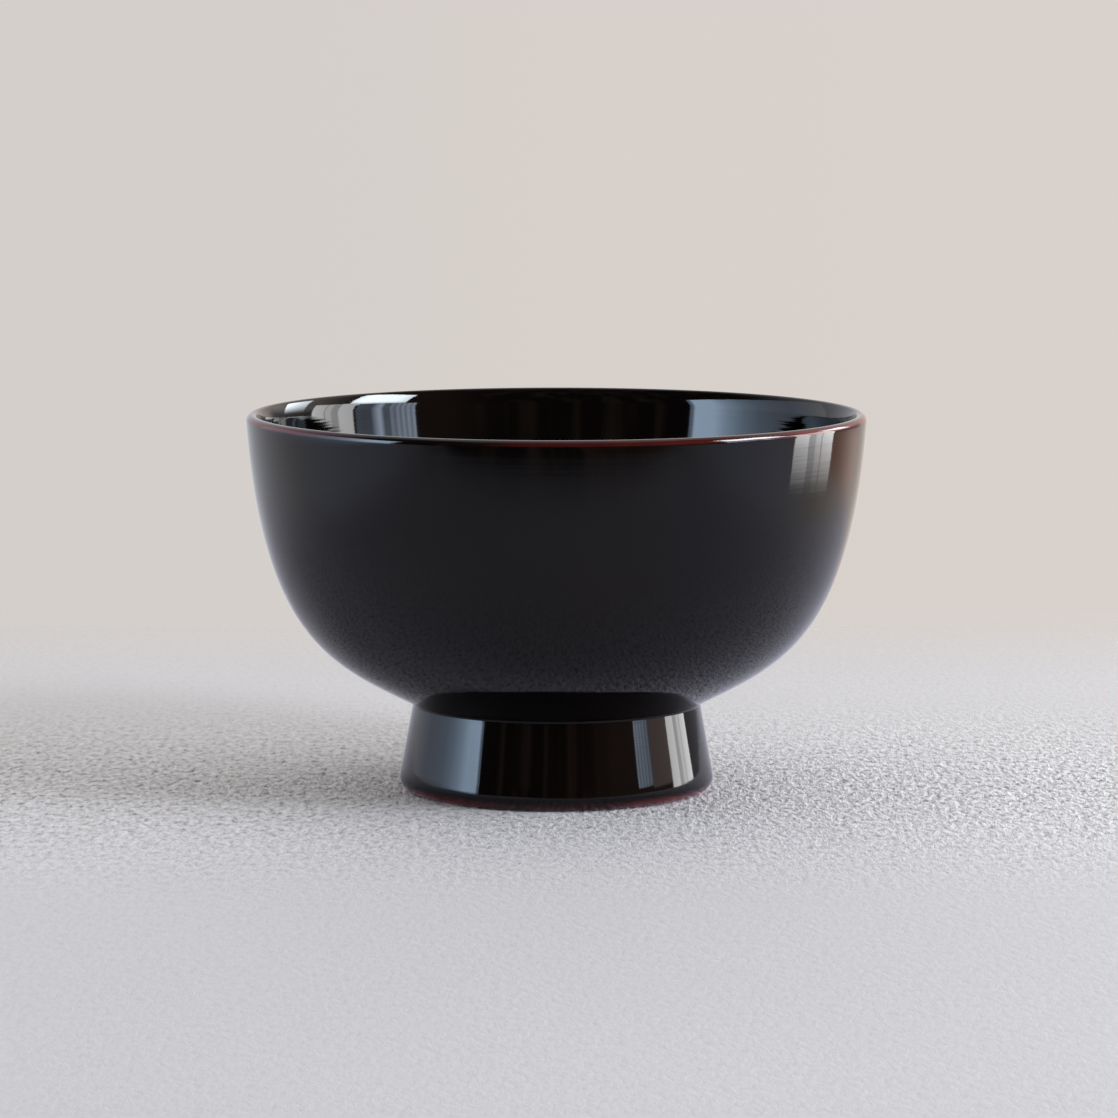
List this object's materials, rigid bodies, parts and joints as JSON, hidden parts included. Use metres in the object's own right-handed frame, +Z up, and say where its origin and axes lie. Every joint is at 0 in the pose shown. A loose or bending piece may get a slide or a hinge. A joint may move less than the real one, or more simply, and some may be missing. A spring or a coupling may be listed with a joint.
{
  "type": "lacquer bowl",
  "caption": "Round footed soup bowl of turned wood under dark glossy lacquer, with red showing through at the lip and along the foot's bottom edge.",
  "frame": {"origin": "centre of the foot's resting face, on the axis of the turning", "axes": "+Z up along the axis of the turning, X and Y alike"},
  "size_m": [0.12, 0.12, 0.0734],
  "materials": {
    "turned_wood": "turned, bare, fully covered by the coats",
    "joint_glue": "cured glue film",
    "ground_coat": "rubbed flat, matt",
    "red_undercoat": "satin red lacquer, rubbed",
    "dark_topcoat": "polished translucent dark brown lacquer"
  },
  "bodies": {
    "root": {"bowl_core": "turned_wood", "foot_ring": "turned_wood", "joint_glue": "joint_glue", "ground_inside": "ground_coat", "ground_outside": "ground_coat", "ground_foot": "ground_coat", "ground_recess": "ground_coat", "undercoat_inside": "red_undercoat", "undercoat_outside": "red_undercoat", "undercoat_foot": "red_undercoat", "undercoat_recess": "red_undercoat", "topcoat_inside": "dark_topcoat", "topcoat_outside": "dark_topcoat", "topcoat_foot": "dark_topcoat", "topcoat_recess": "dark_topcoat"}
  },
  "joints": []
}
